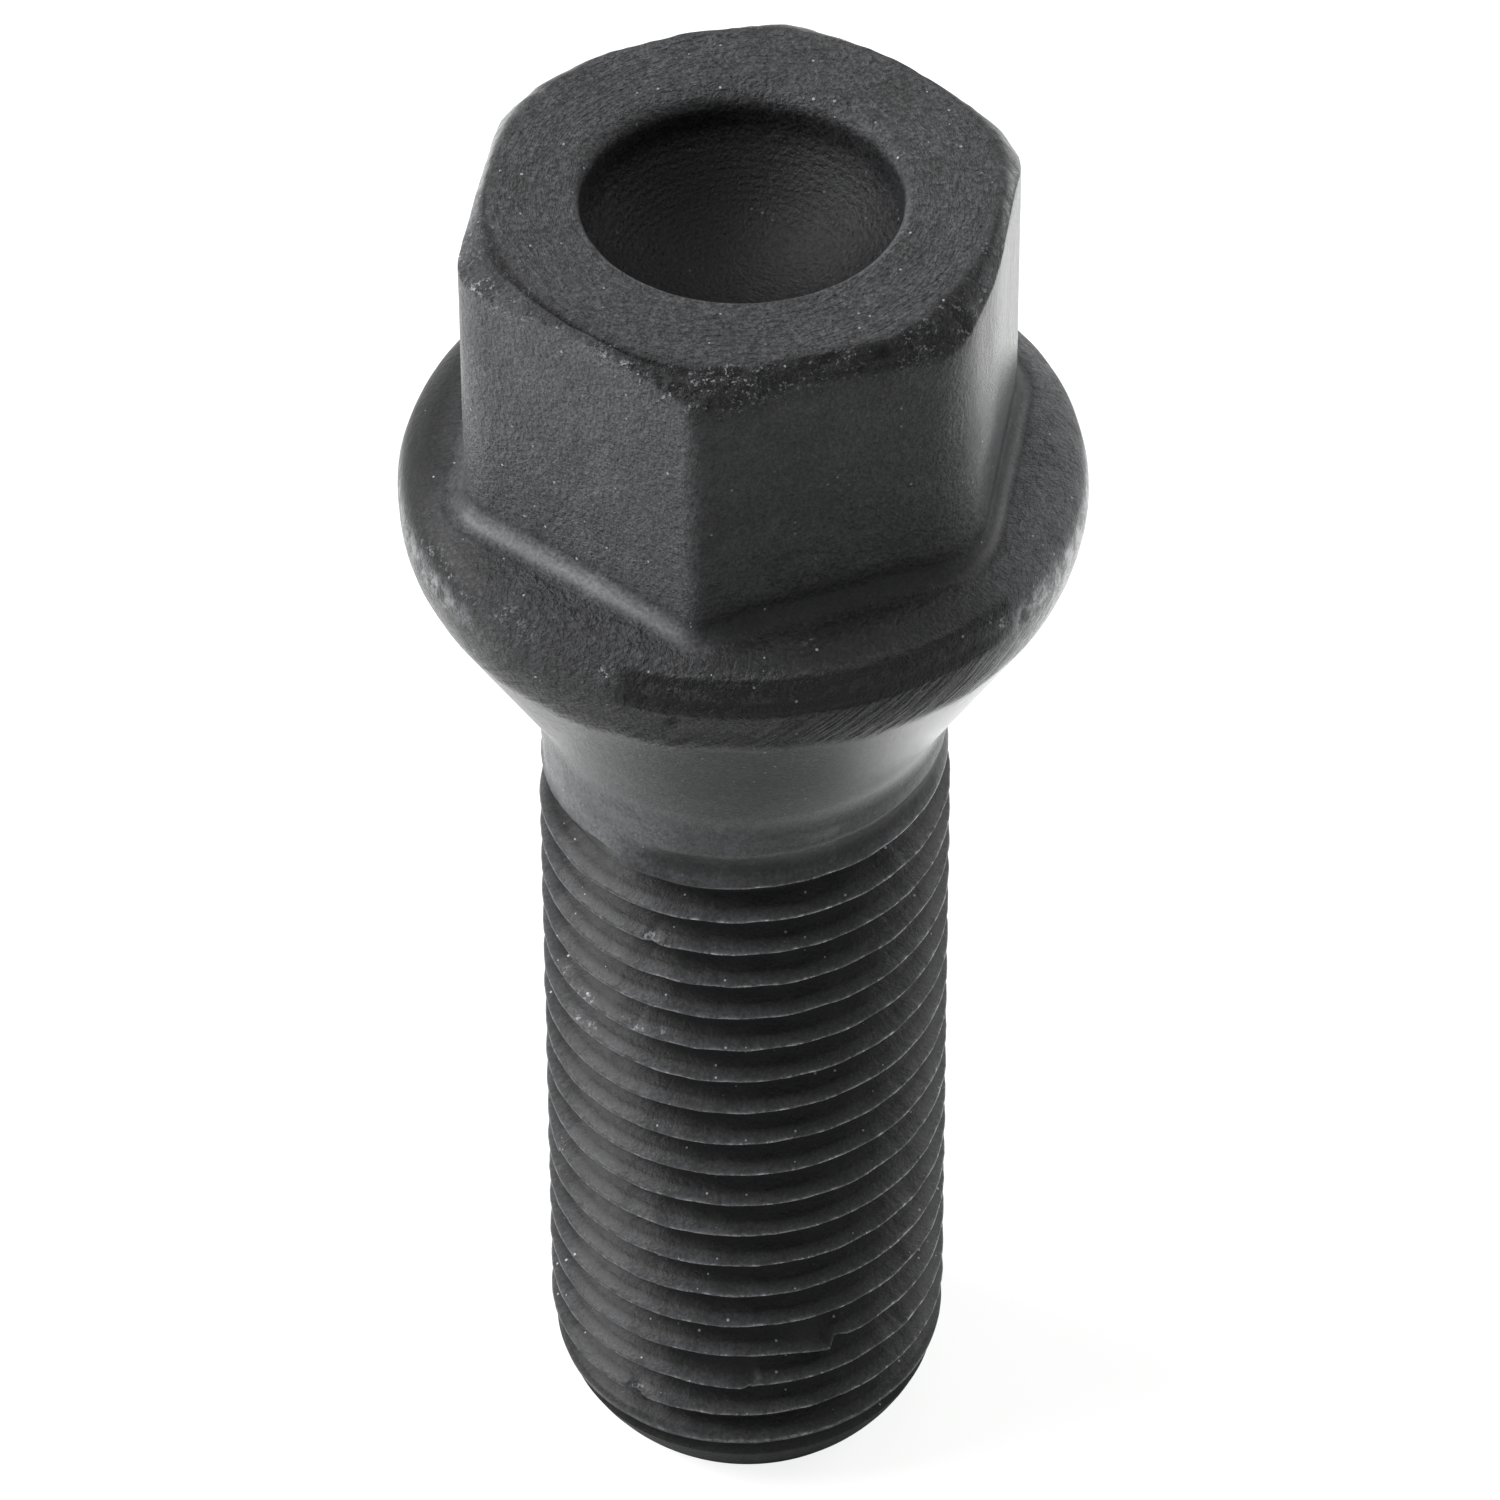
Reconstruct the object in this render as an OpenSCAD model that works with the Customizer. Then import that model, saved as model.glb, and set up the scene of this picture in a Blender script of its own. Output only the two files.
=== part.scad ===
// Wheel bolt with a conical seat, a round flange and a hollowed hexagon head.
// One forged and turned piece. It stands on its flat end face, with its axis along +Z.
// The fine thread is left plain: the shank is a cylinder over the thread's crests.

/* [Thread] */
// Outer diameter over the thread's crests
thread_d = 13.86; // [13.7:0.02:15.9]
// Height above the end face where the thread runs out
thread_end = 28.6; // [16:0.1:31]

/* [Point] */
// Diameter of the flat end face
end_face_d = 10; // [8:0.1:12]
// Height of the rounded point
point_h = 4.3; // [2:0.1:6]

/* [Neck and seat] */
// Diameter of the plain neck between the thread and the seat
neck_d = 13.68; // [12.5:0.02:13.8]
// Height above the end face where the neck meets the seat
shank_l = 33; // [31:0.5:60]
// Radius between the neck and the seat
neck_fillet_r = 1.5; // [0.5:0.1:5]
// Full angle of the conical seat
seat_angle = 60; // [56:1:90]

/* [Flange] */
// Diameter of the flange
flange_d = 22.6; // [22.5:0.1:30]
// Radius of the roll from the seat up to the flange's widest point
roll_r = 4.4; // [1.5:0.1:6]
// Height of the flange's top above its widest point
flange_rise = 1.9; // [1:0.1:2.5]
// Radius of the flange's shoulder above its widest point
shoulder_r = 2.7; // [2.6:0.1:3.2]
// Radius of the edge between the shoulder and the top
rim_edge_r = 0.6; // [0.2:0.1:0.8]

/* [Head] */
// Width of the hexagon across its flats
hex_af = 17; // [15.5:0.1:17]
// Height of the hexagon above the flange
hex_h = 10.3; // [8:0.1:16]
// Radius of the hexagon's upright corners
corner_r = 1.5; // [0.3:0.1:3]
// Turn of the hexagon about the axis
hex_turn = -9.3; // [-30:0.1:30]
// Radius of the blend between the hexagon and the flange
blend_r = 0.55; // [0.2:0.05:0.55]
// Diameter of the flat top inside the chamfer
top_face_d = 16.4; // [13:0.1:16.5]
// Slope of the top chamfer below the horizontal
chamfer_angle = 38; // [10:1:45]

/* [Recess] */
// Diameter of the recess in the head
recess_d = 10.35; // [8:0.05:12]
// Depth of the recess's straight wall
recess_wall = 1.5; // [0.6:0.1:6]
// Depth of the bowl-shaped floor below the straight wall
bowl_depth = 3.45; // [1:0.05:3.9]
// Radius of the recess's rounded mouth
mouth_r = 0.35; // [0.1:0.05:0.5]

/* [Hidden] */
$fn = 96;
// What a cut or a foot reaches past the face that it meets
over = 0.5;
// What an arc is drawn larger by, so that it crosses the lines it runs into
seam = 0.002;
thread_r = thread_d / 2;
neck_r = neck_d / 2;
flange_r = flange_d / 2;
recess_r = recess_d / 2;
half_seat = seat_angle / 2;
// Radius of the arc that leaves the end face and runs tangent into the thread
point_step = thread_r - end_face_d / 2;
point_r = (point_h * point_h + point_step * point_step) / (2 * point_step);
// The seat ends where the roll's arc leaves it, along the seat's own slope
roll_foot_r = flange_r - roll_r * (1 - cos(half_seat));
roll_foot_z = shank_l + (roll_foot_r - neck_r) / tan(half_seat);
rim_z = roll_foot_z + roll_r * sin(half_seat);
flange_top = rim_z + flange_rise;
head_top = flange_top + hex_h;
// Length of a flat between its rounded corners, and the corners' own centres
flat_l = (hex_af - 2 * corner_r) / sqrt(3);
corner_centre = (hex_af / 2 - corner_r) / cos(30);
// Radius and centre of the sphere that shapes the recess's floor
bowl_r = (recess_r * recess_r + bowl_depth * bowl_depth) / (2 * bowl_depth);
bowl_centre = bowl_r - bowl_depth - recess_wall;

// Half section of the rounded point, up into the thread
module point_section() {
    intersection() {
        translate([thread_r - point_r, point_h]) circle(point_r + seam);
        square([thread_r, point_h + over]);
    }
    square([thread_r - point_r, point_h + over]);
}

// Half section of the thread, the neck and the seat
module shank_section() {
    polygon([
        [0, point_h],
        [thread_r, point_h],
        [thread_r, thread_end],
        [neck_r, thread_end + thread_r - neck_r],
        [neck_r, shank_l],
        [roll_foot_r, roll_foot_z],
        [0, roll_foot_z]
    ]);
}

// Half section of the fillet that fills the corner between the neck and the seat
module neck_fillet() {
    run = neck_fillet_r * tan(half_seat / 2);
    difference() {
        polygon([
            [neck_r - run, shank_l - run],
            [neck_r, shank_l - run],
            [neck_r + run * sin(half_seat), shank_l + run * cos(half_seat)],
            [neck_r - run, shank_l + run * cos(half_seat)]
        ]);
        translate([neck_r + neck_fillet_r, shank_l - run]) circle(neck_fillet_r + seam);
    }
}

// Half section of the roll under the flange, up to its widest point
module roll_section() {
    intersection() {
        translate([flange_r - roll_r, rim_z]) circle(roll_r + seam);
        translate([0, rim_z - roll_r]) square([flange_r, roll_r]);
    }
    translate([0, roll_foot_z - over]) square([flange_r - roll_r, rim_z - roll_foot_z + over]);
}

// Half section of the flange's shoulder, its edge and its flat top
module shoulder_section() {
    reach = shoulder_r - rim_edge_r;
    lift = flange_rise - rim_edge_r;
    edge_x = flange_r - shoulder_r + sqrt(reach * reach - lift * lift);
    edge_top = lift * shoulder_r / reach;
    intersection() {
        translate([flange_r - shoulder_r, rim_z]) circle(shoulder_r + seam);
        translate([0, rim_z - over]) square([flange_r, edge_top + over]);
    }
    intersection() {
        translate([edge_x, rim_z + lift]) circle(rim_edge_r + 2 * seam);
        translate([0, rim_z]) square([flange_r, flange_rise]);
    }
    translate([0, rim_z - over]) square([edge_x, flange_rise + over]);
}

// Section of a cove in the corner of two faces, with its foot sunk into both
module cove(r) {
    difference() {
        translate([-over, -over]) square(r + over);
        translate([r, r]) circle(r + seam);
    }
}

// Hexagon with rounded corners, sunk into the flange and taller than its chamfer
module hexagon_bar() {
    for (turn = [0:60:120]) {
        rotate(turn) translate([-hex_af / 2, -flat_l / 2, -over])
            cube([hex_af, flat_l, hex_h + 2 * over]);
    }
    for (turn = [0:60:300]) {
        rotate(turn + 30) translate([corner_centre, 0, -over])
            cylinder(h = hex_h + 2 * over, r = corner_r + seam);
    }
}

// Blend that follows the hexagon's foot, straight on the flats and turned at the corners
module foot_blend() {
    lap = 8;
    for (turn = [0:60:300]) rotate(turn) {
        translate([hex_af / 2, flat_l / 2]) rotate([90, 0, 0])
            linear_extrude(flat_l) cove(blend_r);
        translate([hex_af / 2 - corner_r, flat_l / 2]) rotate(-lap)
            rotate_extrude(angle = 60 + 2 * lap)
                translate([corner_r + seam, 0]) cove(blend_r);
    }
}

// Turned outline that the hexagon's top chamfer follows
module chamfer_cone() {
    cone_foot = hex_af;
    rotate_extrude() polygon([
        [0, -2 * over],
        [cone_foot, -2 * over],
        [cone_foot, hex_h - (cone_foot - top_face_d / 2) * tan(chamfer_angle)],
        [top_face_d / 2, hex_h],
        [0, hex_h]
    ]);
}

// Blind recess with a rounded mouth and a bowl-shaped floor
module recess() {
    rotate_extrude() {
        intersection() {
            union() {
                translate([0, bowl_centre]) circle(bowl_r);
                translate([0, bowl_centre]) square([bowl_r, recess_wall + over]);
            }
            translate([0, bowl_centre - bowl_r]) square([recess_r, bowl_r - bowl_centre + over]);
        }
        difference() {
            translate([0, -mouth_r]) square([recess_r + mouth_r, mouth_r + over]);
            translate([recess_r + mouth_r, -mouth_r]) circle(mouth_r + seam);
        }
    }
}

module wheel_bolt() {
    color("#3c3e42") difference() {
        union() {
            rotate_extrude() {
                point_section();
                shank_section();
                neck_fillet();
                roll_section();
                shoulder_section();
            }
            translate([0, 0, flange_top]) rotate(hex_turn) intersection() {
                union() {
                    hexagon_bar();
                    foot_blend();
                }
                chamfer_cone();
            }
        }
        translate([0, 0, head_top]) recess();
    }
}

wheel_bolt();
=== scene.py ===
import math
import random
from types import SimpleNamespace

import bpy
import numpy as np
from mathutils import Matrix, Vector, noise


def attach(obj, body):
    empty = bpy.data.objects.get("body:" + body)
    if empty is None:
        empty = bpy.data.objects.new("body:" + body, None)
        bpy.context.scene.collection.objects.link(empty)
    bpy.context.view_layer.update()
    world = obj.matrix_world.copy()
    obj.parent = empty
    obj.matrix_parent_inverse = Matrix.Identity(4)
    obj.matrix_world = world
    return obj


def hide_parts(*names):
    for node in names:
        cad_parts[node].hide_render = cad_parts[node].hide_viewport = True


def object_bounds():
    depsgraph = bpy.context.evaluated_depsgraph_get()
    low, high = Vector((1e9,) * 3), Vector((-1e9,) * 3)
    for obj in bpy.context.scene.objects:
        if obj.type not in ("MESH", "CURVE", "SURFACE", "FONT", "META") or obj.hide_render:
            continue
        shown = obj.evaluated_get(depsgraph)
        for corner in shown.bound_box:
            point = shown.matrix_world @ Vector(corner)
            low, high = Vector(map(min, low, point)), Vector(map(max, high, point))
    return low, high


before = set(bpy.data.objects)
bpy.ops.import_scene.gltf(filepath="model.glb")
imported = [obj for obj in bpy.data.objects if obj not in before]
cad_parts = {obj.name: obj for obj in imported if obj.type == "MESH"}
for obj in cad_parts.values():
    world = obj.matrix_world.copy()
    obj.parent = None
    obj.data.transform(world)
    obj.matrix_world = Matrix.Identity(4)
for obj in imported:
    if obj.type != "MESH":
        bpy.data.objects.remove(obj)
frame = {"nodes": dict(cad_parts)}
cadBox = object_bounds()
mm = 0.001
print("frame loaded:", ", ".join(frame["nodes"]))


# The camera comes from fitting the bolt's outline and its thread's crests.
# Distances are in millimetres here and below, and turns in degrees.
camera = {
    "elevation": 43.37,
    "distance": 316.45,
    "lens": 226.57,
    "sensor": 36.0,
    "aim": (0.18, 0.0, 29.83),
    "roll": -0.27,
}


def placeCamera():
    tilt = math.radians(camera["elevation"])
    aim = Vector(camera["aim"]) * mm
    away = Vector((0.0, -math.cos(tilt), math.sin(tilt)))
    eye = bpy.data.objects.new("camera", bpy.data.cameras.new("camera"))
    eye.data.lens = camera["lens"]
    eye.data.sensor_width = camera["sensor"]
    eye.location = aim + away * camera["distance"] * mm
    eye.rotation_mode = "QUATERNION"
    turn = (-away).to_track_quat("-Z", "Y")
    eye.rotation_quaternion = turn @ Matrix.Rotation(math.radians(camera["roll"]), 3, "Z").to_quaternion()
    bpy.context.collection.objects.link(eye)
    bpy.context.scene.camera = eye


placeCamera()
print("camera placed")


# +Z runs along the axis from the end face to the head
head = {
    "halfFlats": 8.5,
    # one for each corner, counterclockwise from the one nearest +X
    "cornerRadii": [2.9, 1.4, 2.6, 2.3, 0.8, 2.6],
    "turn": -9.3,
    "top": 54.08,
    # the hammered rim: turn from the front towards +X, radius of the flat top, drop to the side,
    # depth of the ditch between them, and how dark its crust is
    "rim": [(-180, 8.4, 0.75, 0.0, 0.5), (-159, 8.25, 0.3, 0.02, 0.4), (-145, 8.3, 0.45, 0.0, 0.4),
            (-129, 8.2, 1.3, 0.0, 0.5), (-115, 8.2, 0.8, 0.0, 0.4), (-99, 8.05, 0.55, 0.03, 0.4),
            (-85, 8.05, 0.5, 0.1, 0.2), (-69, 8.0, 0.6, 0.16, 0.15), (-60, 8.0, 0.45, 0.18, 0.2),
            (-52, 8.05, 0.3, 0.18, 0.25), (-41, 8.05, 0.25, 0.17, 0.3), (-30, 8.2, 0.22, 0.15, 0.5),
            (-20, 8.35, 0.25, 0.12, 0.8), (-10, 8.3, 0.5, 0.08, 1.0), (-3, 8.3, 1.0, 0.05, 1.0),
            (3, 8.2, 1.05, 0.05, 1.0), (10, 8.05, 0.7, 0.06, 1.0), (21, 8.1, 0.72, 0.05, 1.0),
            (34, 8.25, 1.0, 0.03, 1.0), (45, 8.3, 1.25, 0.0, 1.0), (51, 8.1, 1.2, 0.0, 0.9),
            (65, 8.05, 0.8, 0.0, 0.6), (81, 8.15, 0.45, 0.0, 0.5), (96, 8.3, 0.45, 0.0, 0.5),
            (111, 8.5, 0.9, 0.0, 0.5), (125, 8.35, 0.6, 0.02, 0.4), (141, 8.35, 0.3, 0.02, 0.4),
            (155, 8.35, 0.35, 0.0, 0.4), (171, 8.45, 0.85, 0.0, 0.5)],
    "leastDrop": 0.12,
    # how steeply the rim falls, and where across it the ditch lies and how wide it is
    "rimFall": 1.6,
    "ditch": (0.84, 0.16),
    # the corner that is rubbed away: turn from the front towards +X, half width, depth
    "rubbedCorner": (55.0, 10.0, 0.4),
    "footBlend": 0.75,
    "recessRadius": 5.175,
    "recessWall": 1.5,
    "bowlDepth": 3.45,
    # rounding of the mouth at the front, and how much more it is at the back
    "mouthRound": (0.2, 0.6),
    # how far below the rim's edge the faces' last two rows of points lie
    "edgeRows": (0.12, 0.03),
    # how far in from the side the last of them lies, and the rim's slope begins
    "edgeInset": (0.015, 0.03),
    # rows of points up each part, and where they lie over the rim, from the side to the flat top
    "blendRows": 6,
    "faceRows": 14,
    "rimParts": (0.08, 0.2, 0.35, 0.5, 0.65, 0.8, 0.92, 1.0),
    "topRows": 10,
    "mouthRows": 6,
    "wallRows": 4,
    "bowlRows": 20,
}

flange = {
    "neckRadius": 6.84,
    "neckTop": 33.0,
    "neckFillet": 2.6,
    # the cone's slope away from the axis
    "seatAngle": 30.0,
    "widest": 11.29,
    "widestHeight": 41.9,
    "rollRadius": 4.4,
    # the shoulder from the widest point in to the flat top
    "shoulder": [(11.29, 41.9), (11.25, 42.3), (11.16, 42.68), (11.0, 43.04), (10.72, 43.32),
                 (10.3, 43.57), (9.8, 43.73), (9.2, 43.79), (8.5, 43.8)],
    # the painted shade of the band on the front edge: heights where it fades out, and the flat pressed
    # into it
    "bandTop": (42.9, 43.15),
    "pressedFrom": (42.0, 42.2),
    "pressedTo": (42.75, 43.0),
    "pressedDepth": 0.05,
    # heights where the top begins and the underside ends, and the dusty strip between them
    "topFrom": (43.1, 43.45),
    "underTo": (42.3, 43.0),
    "dustFrom": (42.7, 42.95),
    "dustTo": (43.2, 43.5),
    # rows of points up each part
    "filletRows": 6,
    "coneRows": 12,
    "rollRows": 13,
    "shoulderRows": 17,
}

thread = {
    "pitch": 1.5,
    "crestRadius": 6.93,
    "depth": 0.92,
    # height of the uppermost crest at the front
    "firstCrest": 30.01,
    "top": 31.95,
    "bottom": 0.3,
    "endRadius": 5.12,
    "pointHeight": 4.3,
    # in pitches: half the crest's land, how far down the flank its foot is, how softly the land
    # ends, the flank's width and how hollow it is
    "landHalf": 0.05,
    "flankFoot": 0.36,
    "landRound": 0.015,
    "flankWidth": 0.34,
    "flankHollow": 0.06,
    # rows of each turn, in pitches from the crest's middle, and how bright the crest's rows are
    "phases": [-0.5, -0.36, -0.2, -0.05, 0.0, 0.05, 0.2, 0.36],
    "shine": {-0.05: 1.0, 0.0: 1.0, 0.05: 0.65},
    # size and frequency of the uneven turning, and how far and how often a crest wanders
    "uneven": [(0.022, 1.1), (0.014, 3.1)],
    "wander": (0.05, 0.9),
    # turns of the helix, counted from the right side by the neck: where the groove runs out, where
    # the crests narrow to the neck, where a last shallow groove starts and ends, where the crest is
    # missing, and where the bright crest ends, comes back and ends again
    "runOut": (-0.5, 0.1),
    "taper": (-0.9, 0.2),
    "lastGroove": (0.13, 0.2, 0.45, 0.8),
    "lastDepth": 0.24,
    "missingCrest": (-0.72, -0.6, -0.42, -0.34),
    "missingDepth": 0.4,
    "brightEnds": (-0.9, -0.55, -0.36, -0.25, 0.1, 0.3),
    # heights where the point's crests and roots fade, and where the neck's finish begins
    "crestsFrom": (1.0, 3.0),
    "rootsFrom": (0.5, 1.6),
    "neckFrom": (29.9, 30.6),
    # folded crests: turn from the front towards +X, height, how far down, degrees to the left
    "folds": [(25.5, 7.3, 0.5, 20), (2.5, 5.75, 0.22, 26), (-70, 13.0, 0.2, 15),
              (140, 18.0, 0.3, 20), (-150, 10.0, 0.25, 25)],
    # crests worn bright: turns from and to, and the height
    "bared": [(-38, -24, 22.4), (-66, -50, 22.3), (-62, -50, 20.8), (-30, -22, 26.9),
              (150, 175, 15.5), (-150, -130, 19.0)],
}

endFace = {
    "rings": (1.2, 2.4, 3.6, 4.5),
    # radius and height of the rounded edge
    "edge": ((4.8, 0.0), (4.96, 0.012), (5.06, 0.05), (5.15, 0.13)),
}

# Stretches round the axis that are shaped or worn in their own way, or given their own painted light and
# shade:
# from, to and how softly they end, in degrees from the front towards +X
zones = {
    "threadLeft": (-125, -28, 24),
    "threadRight": (48, 125, 15),
    "crestsLeft": (-120, -25, 15),
    "crestsRight": (42, 120, 14),
    "seatLeft": (-125, -60, 20),
    "seatRight": (22, 125, 24),
    "seatPale": (45, 125, 15),
    "rollLeft": (-128, -52, 14),
    "rollRight": (48, 128, 16),
    "flangeLeft": (-125, -52, 12),
    "flangeRight": (52, 128, 12),
    "flangeQuiet": (-12, 46, 8),
    "flangeBand": (-20.3, 50, 1.2),
    "flangeDust": (-72, -38, 6),
    "leftFace": (-68, -11, 2.5),
    "frontFace": (-6, 46, 5),
    "rightFace": (58, 104, 6),
    "glossyFace": (56, 108, 8),
    "leftRim": (-85, -15, 6),
    "frontRim": (-7, 54, 5),
    "rightRim": (58, 92, 6),
    "raggedRim": (-40, 56, 8),
    "frontHalf": (-88, 88, 12),
}
# turns over which the flange's band fades out at its right end
bandFades = (38.0, 62.0)


def sweepAngles():
    # more columns at the hexagon's corners, where the surface turns fast
    corner = 30.0 + head["turn"]
    found = []
    for sector in range(6):
        middle = corner + 60.0 * sector
        found += [middle - 3.0 + 6.0 * step / 16 for step in range(16)]
        found += [middle + 3.0 + 54.0 * step / 40 for step in range(40)]
    return np.radians(np.sort(np.mod(found, 360.0)))


angles = sweepAngles()
columns = len(angles)


def azimuths():
    # degrees from the front towards +X, -180 to 180, at each column
    fromFront = np.degrees(angles) + 90.0
    return np.where(fromFront > 180.0, fromFront - 360.0, fromFront)


def wobble(seed, size, turns):
    # a smooth uneven ring, the sum of a few seeded waves round the axis
    draw = random.Random(seed)
    total = np.zeros(columns)
    for count in range(1, turns + 1):
        total += draw.uniform(-1, 1) * np.sin(count * angles + draw.uniform(0, 6.28)) / math.sqrt(count)
    return size * total


def smooth(value, low, high):
    # 0 below low and 1 above high, for whole rows
    part = np.clip((value - low) / (high - low), 0.0, 1.0)
    return part * part * (3.0 - 2.0 * part)


def ramp(value, low, high):
    # the same for one number
    part = min(max((value - low) / (high - low), 0.0), 1.0)
    return part * part * (3.0 - 2.0 * part)


def zone(name):
    # 1 in the named stretch and 0 outside it, soft at both ends
    start, end, soft = zones[name]
    turn = azimuths()
    return smooth(turn, start - soft, start + soft) * (1.0 - smooth(turn, end - soft, end + soft))


def overZones(base, **amounts):
    # the base all round, and what each named stretch adds to it
    return base + sum(amount * zone(name) for name, amount in amounts.items())


def hexOutline():
    # distance from the axis to the rounded hexagon, and how near a corner is, at each column
    corner = math.radians(30.0 + head["turn"])
    sixth = math.radians(60.0)
    sector = np.floor((angles - corner) / sixth + 0.5).astype(int)
    offset = angles - corner - sector * sixth
    flat = head["halfFlats"] / np.cos(sixth / 2 - np.abs(offset))
    radius = np.array(head["cornerRadii"])[sector % 6]
    centre = (head["halfFlats"] - radius) / math.cos(sixth / 2)
    reach = np.maximum(radius ** 2 - (centre * np.sin(offset)) ** 2, 0.0)
    rounded = centre * np.cos(offset) + np.sqrt(reach)
    meets = np.arctan2(radius * 0.5, centre + radius * math.cos(sixth / 2))
    outline = np.where(np.abs(offset) < meets, rounded, flat)
    return outline, 1.0 - smooth(np.abs(offset), meets * 0.7, meets * 1.5)


def rimShape():
    # the flat top's radius, the drop to the side, the ditch and the crust, at each column
    fromFront = np.degrees(angles) + 90.0
    turns, *lines = np.array(head["rim"]).T
    weights = np.array([1, 2, 3, 4, 3, 2, 1]) / 16
    found = []
    for line in lines:
        line = np.interp(fromFront, turns, line, period=360.0)
        found.append(sum(weight * np.roll(line, shift - 3) for shift, weight in enumerate(weights)))
    radius, drop, ditch, crust = found
    ragged = overZones(1.0, raggedRim=1.5)
    drop = np.maximum(drop + ragged * wobble(8, 0.025, 60), head["leastDrop"])
    return radius + ragged * wobble(5, 0.022, 50), drop, ditch, crust


class Skin:
    # rows of points round the axis, from the end face's middle up and into the recess
    def __init__(self):
        self.places = []
        self.marks = []
        self.faces = []
        self.last = None

    def point(self, x, y, z, marks):
        self.places.append((x, y, z))
        self.marks.append(marks)
        return len(self.places) - 1

    def ring(self, radius, height, **marks):
        radius = np.broadcast_to(radius, columns)
        height = np.broadcast_to(height, columns)
        spread = {name: np.broadcast_to(value, columns) for name, value in marks.items()}
        made = []
        for column in range(columns):
            here = {name: float(value[column]) for name, value in spread.items()}
            made.append(self.point(radius[column] * math.cos(angles[column]),
                                   radius[column] * math.sin(angles[column]), height[column], here))
        if self.last is not None:
            self.join(made)
        self.last = made
        return made

    def join(self, made):
        for column in range(columns):
            follow = (column + 1) % columns
            self.faces.append((self.last[column], self.last[follow], made[follow], made[column]))

    def open(self, radius, height, **marks):
        # a disc from a point on the axis to the first row
        middle = self.point(0.0, 0.0, height, marks)
        made = self.ring(radius, height, **marks)
        for column in range(columns):
            self.faces.append((middle, made[(column + 1) % columns], made[column]))

    def close(self, height, **marks):
        # a fan from the last row to a point on the axis
        middle = self.point(0.0, 0.0, height, marks)
        for column in range(columns):
            self.faces.append((self.last[column], self.last[(column + 1) % columns], middle))


def pointLimit(height):
    # the rounded point's arc, tangent to the crests
    step = thread["crestRadius"] - thread["endRadius"]
    arc = (thread["pointHeight"] ** 2 + step ** 2) / (2 * step)
    drop = max(thread["pointHeight"] - height, 0.0)
    return thread["crestRadius"] - arc + math.sqrt(max(arc ** 2 - drop ** 2, 0.0))


def threadDepth(phase, edge):
    # 0 on the crest, 1 in the rounded root
    away = abs(phase - round(phase))
    rise = min(max((away - edge + thread["landRound"]) / thread["flankWidth"], 0.0), 1.0)
    return rise - thread["flankHollow"] * rise * math.sin(rise * math.pi)


def grooveAmount(helix):
    # 1 along the full thread, 0 past its end
    start, full, fall, end = thread["lastGroove"]
    last = ramp(helix, start, full) * (1.0 - ramp(helix, fall, end))
    return 1.0 - ramp(helix, *thread["runOut"]) + thread["lastDepth"] * last


def foldDrop(fromFront, crestHeight):
    # how far a folded crest is pushed down, most at its step and less to the left of it
    drop = 0.0
    for turn, height, size, reach in thread["folds"]:
        before = (turn - fromFront + 180.0) % 360.0 - 180.0
        if abs(crestHeight - height) < 0.5 and 0 <= before < reach:
            drop += size * (1.0 - before / reach) ** 1.5
    return drop


def isBared(fromFront, crestHeight):
    return any(start < fromFront < end and abs(crestHeight - height) < 0.6
               for start, end, height in thread["bared"])


def crestEdge(crestHeight):
    # half the crest's flat land, in pitches: wider where the point cuts the thread away
    cut = (thread["crestRadius"] - pointLimit(crestHeight)) / thread["depth"]
    return thread["landHalf"] + (thread["flankFoot"] - thread["landHalf"]) * min(cut, 1.0)


def stretchedPhase(phase, edge):
    # the rows on the flanks move out as the land widens; the crest's and the root's stay
    if phase == 0.0 or abs(phase) == 0.5:
        return phase
    foot = thread["flankFoot"]
    away = np.interp(abs(phase), (thread["landHalf"], foot), (edge, max(foot, edge + 0.03)))
    return math.copysign(away, phase)


def threadSurface(helix, phase, stretched, edge, height, across):
    # distance from the axis, and the groove's depth from 0 to 1
    depth = threadDepth(stretched, edge) * grooveAmount(helix + math.copysign(0.5, phase))
    if onCrest(phase):
        falls, gone, returns, back = thread["missingCrest"]
        missing = ramp(helix, falls, gone) * (1.0 - ramp(helix, returns, back))
        depth = max(depth, thread["missingDepth"] * missing)
    narrowing = flange["neckRadius"] - thread["crestRadius"]
    crest = thread["crestRadius"] + narrowing * ramp(helix, *thread["taper"])
    crest += sum(size * noise.noise(across * often) for size, often in thread["uneven"]) - 0.02
    return min(crest - thread["depth"] * depth, pointLimit(height)), depth


def onCrest(phase):
    return abs(phase) < 0.3


def threadMarks(helix, phase, height, depth, bare):
    # what the finish needs to know at one point of the thread
    ends, ended, starts, full, fades, out = thread["brightEnds"]
    shown = 1.0 - ramp(helix, ends, ended) + ramp(helix, starts, full) * (1.0 - ramp(helix, fades, out))
    land = thread["shine"].get(phase, 0.0)
    return {
        "turned": 1.0,
        "crest": land * ramp(height, *thread["crestsFrom"]) * shown,
        "root": depth * ramp(height, *thread["rootsFrom"]),
        "rub": 0.5 if bare and land > 0.0 else 0.0,
        "neck": ramp(height, *thread["neckFrom"]) * (1.0 - min(1.0, 3.0 * depth)),
    }


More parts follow.
